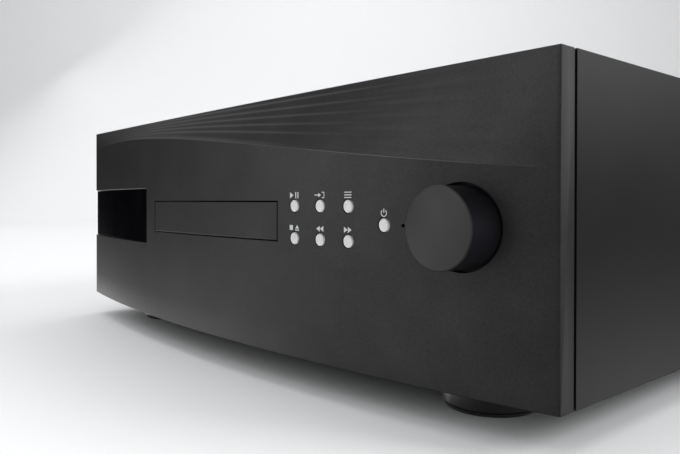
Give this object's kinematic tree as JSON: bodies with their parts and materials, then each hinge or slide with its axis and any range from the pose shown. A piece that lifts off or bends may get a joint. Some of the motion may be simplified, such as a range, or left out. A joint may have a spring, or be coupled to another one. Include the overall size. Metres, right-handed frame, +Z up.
{
  "type": "cd player",
  "caption": "Full-width disc player with a bowed, fluted aluminium front, central disc drawer, dark display window, push buttons, a rotary control, round feet and rear sockets.",
  "frame": {"origin": "the middle of the overall footprint, on the floor the feet stand on", "axes": "+X along the front towards the knob end, +Y from front to back, +Z up"},
  "size_m": [0.46, 0.379, 0.1593],
  "materials": {
    "fascia_anodised": "anodised, fine satin",
    "case_plate": "anodised, satin",
    "chassis_steel": "fine-textured powder coat",
    "knob_metal": "turned and anodised, satin",
    "button_silver": "satin silver-white",
    "smoked_window": "polished, near black",
    "foot_plastic": "fine grain",
    "foot_rubber": "matt",
    "mechanism_plastic": "moulded",
    "gear_plastic": "moulded",
    "bare_steel": "zinc plated",
    "plated_brass": "gold plated",
    "belt_rubber": "matt",
    "circuit_board": "solder mask",
    "transformer_core": "wound core under varnished tape"
  },
  "bodies": {
    "case": {"front_panel": "fascia_anodised", "left_side_panel": "case_plate", "right_side_panel": "case_plate", "top_cover": "case_plate", "bottom_plate": "chassis_steel", "rear_panel": "chassis_steel", "display_window": "smoked_window", "status_led": "smoked_window", "foot_front_left": "foot_plastic", "foot_front_right": "foot_plastic", "foot_rear_left": "foot_plastic", "foot_rear_right": "foot_plastic", "foot_pad_front_left": "foot_rubber", "foot_pad_front_right": "foot_rubber", "foot_pad_rear_left": "foot_rubber", "foot_pad_rear_right": "foot_rubber", "front_subframe": "mechanism_plastic", "drive_chassis": "mechanism_plastic", "mains_inlet": "mechanism_plastic", "loading_motor": "bare_steel", "traverse_plate": "bare_steel", "guide_rod_left": "bare_steel", "guide_rod_right": "bare_steel", "spindle_motor": "bare_steel", "sled_motor": "bare_steel", "clamp_bridge": "bare_steel", "cover_screw_front_left": "bare_steel", "cover_screw_front_right": "bare_steel", "cover_screw_rear_left": "bare_steel", "cover_screw_rear_right": "bare_steel", "knob_encoder": "bare_steel", "transformer_clamp": "bare_steel", "xlr_left": "bare_steel", "xlr_right": "bare_steel", "phono_sockets": "plated_brass", "loading_belt": "belt_rubber", "display_module": "circuit_board", "button_board": "circuit_board", "power_supply_board": "circuit_board", "main_board": "circuit_board", "toroidal_transformer": "transformer_core"},
    "drawer": {"disc_tray": "mechanism_plastic", "tray_door": "fascia_anodised"},
    "knob": {"control_knob": "knob_metal", "encoder_shaft": "bare_steel"},
    "turntable": {"turntable_hub": "mechanism_plastic"},
    "clamp": {"clamp_puck": "mechanism_plastic"},
    "pickup": {"optical_pickup": "mechanism_plastic"},
    "pickup_gear": {"sled_gear": "gear_plastic"},
    "drawer_gear": {"tray_gear": "gear_plastic"},
    "belt_gear": {"pulley_gear": "gear_plastic"},
    "belt_pulley": {"motor_pulley": "plated_brass"},
    "power_rocker": {"mains_rocker": "mechanism_plastic"},
    "key_play_pause": {"button_play_pause": "button_silver"},
    "key_input": {"button_input": "button_silver"},
    "key_menu": {"button_menu": "button_silver"},
    "key_stop_eject": {"button_stop_eject": "button_silver"},
    "key_rewind": {"button_rewind": "button_silver"},
    "key_forward": {"button_forward": "button_silver"},
    "key_power": {"button_power": "button_silver"}
  },
  "joints": [
    {"name": "drawer_slide", "type": "slide", "parent": "case", "child": "drawer", "axis": [0, -1, 0], "range_m": [0, 0.14]},
    {"name": "play_pause_press", "type": "slide", "parent": "case", "child": "key_play_pause", "axis": [0, 1, 0], "range_m": [0, 0.0008], "stiffness_N_per_m": 400},
    {"name": "input_press", "type": "slide", "parent": "case", "child": "key_input", "axis": [0, 1, 0], "range_m": [0, 0.0008], "stiffness_N_per_m": 400},
    {"name": "menu_press", "type": "slide", "parent": "case", "child": "key_menu", "axis": [0, 1, 0], "range_m": [0, 0.0008], "stiffness_N_per_m": 400},
    {"name": "stop_eject_press", "type": "slide", "parent": "case", "child": "key_stop_eject", "axis": [0, 1, 0], "range_m": [0, 0.0008], "stiffness_N_per_m": 400},
    {"name": "rewind_press", "type": "slide", "parent": "case", "child": "key_rewind", "axis": [0, 1, 0], "range_m": [0, 0.0008], "stiffness_N_per_m": 400},
    {"name": "forward_press", "type": "slide", "parent": "case", "child": "key_forward", "axis": [0, 1, 0], "range_m": [0, 0.0008], "stiffness_N_per_m": 400},
    {"name": "power_press", "type": "slide", "parent": "case", "child": "key_power", "axis": [0, 1, 0], "range_m": [0, 0.0008], "stiffness_N_per_m": 400},
    {"name": "knob_turn", "type": "hinge", "parent": "case", "child": "knob", "pos_m": [0.1878, -0.1775, 0.0888], "axis": [0, 1, 0], "continuous": true},
    {"name": "disc_spin", "type": "hinge", "parent": "case", "child": "turntable", "pos_m": [0, -0.1145, 0.088], "axis": [0, 0, 1], "continuous": true},
    {"name": "clamp_spin", "type": "hinge", "parent": "case", "child": "clamp", "pos_m": [0, -0.1145, 0.093], "axis": [0, 0, 1], "continuous": true},
    {"name": "pickup_slide", "type": "slide", "parent": "case", "child": "pickup", "axis": [0, 1, 0], "range_m": [0, 0.032]},
    {"name": "pickup_gear_turn", "type": "hinge", "parent": "case", "child": "pickup_gear", "pos_m": [0.0375, -0.0675, 0.0735], "axis": [0, 0, 1], "range_deg": [-230, 0]},
    {"name": "drawer_gear_turn", "type": "hinge", "parent": "case", "child": "drawer_gear", "pos_m": [-0.045, -0.1395, 0.08], "axis": [0, 0, 1], "range_deg": [0, 670]},
    {"name": "belt_gear_turn", "type": "hinge", "parent": "case", "child": "belt_gear", "pos_m": [-0.027, -0.1395, 0.078], "axis": [0, 0, 1], "range_deg": [-1338, 0]},
    {"name": "belt_pulley_turn", "type": "hinge", "parent": "case", "child": "belt_pulley", "pos_m": [0.012, -0.1415, 0.0735], "axis": [0, 0, 1], "range_deg": [-4012, 0]},
    {"name": "power_rocker_tilt", "type": "hinge", "parent": "case", "child": "power_rocker", "pos_m": [-0.18, 0.1774, 0.067], "axis": [0, 0, 1], "range_deg": [-16, 0]}
  ],
  "couplings": [
    {"joint": "clamp_spin", "follows": "disc_spin", "ratio": 1},
    {"joint": "pickup_gear_turn", "follows": "pickup_slide", "rad_per_m": -125},
    {"joint": "drawer_gear_turn", "follows": "drawer_slide", "rad_per_m": 83.333},
    {"joint": "belt_gear_turn", "follows": "drawer_slide", "rad_per_m": -166.67},
    {"joint": "belt_pulley_turn", "follows": "drawer_slide", "rad_per_m": -500}
  ]
}
